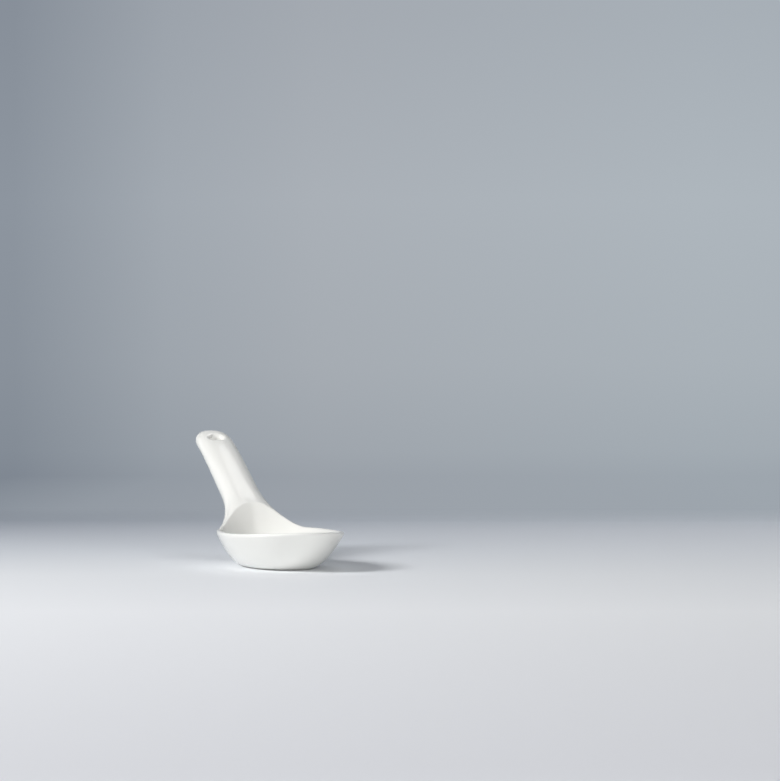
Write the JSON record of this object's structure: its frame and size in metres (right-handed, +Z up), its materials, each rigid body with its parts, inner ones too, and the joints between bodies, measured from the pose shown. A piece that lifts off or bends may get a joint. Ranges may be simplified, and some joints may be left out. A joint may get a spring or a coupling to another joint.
{
  "type": "japanese soup spoon",
  "caption": "Glazed porcelain Japanese soup spoon: an egg-shaped bowl on a flat foot, and a short rising handle that fans out of the rear rim and has a hanging hole.",
  "frame": {"origin": "the middle of the flat foot, on the table", "axes": "+X along the spoon to the tip of the bowl, +Y across it to the left of someone who looks along +X, +Z up"},
  "size_m": [0.1351, 0.0454, 0.0504],
  "materials": {
    "glaze": "glossy white glaze"
  },
  "bodies": {
    "root": {"spoon": "glaze"}
  },
  "joints": []
}
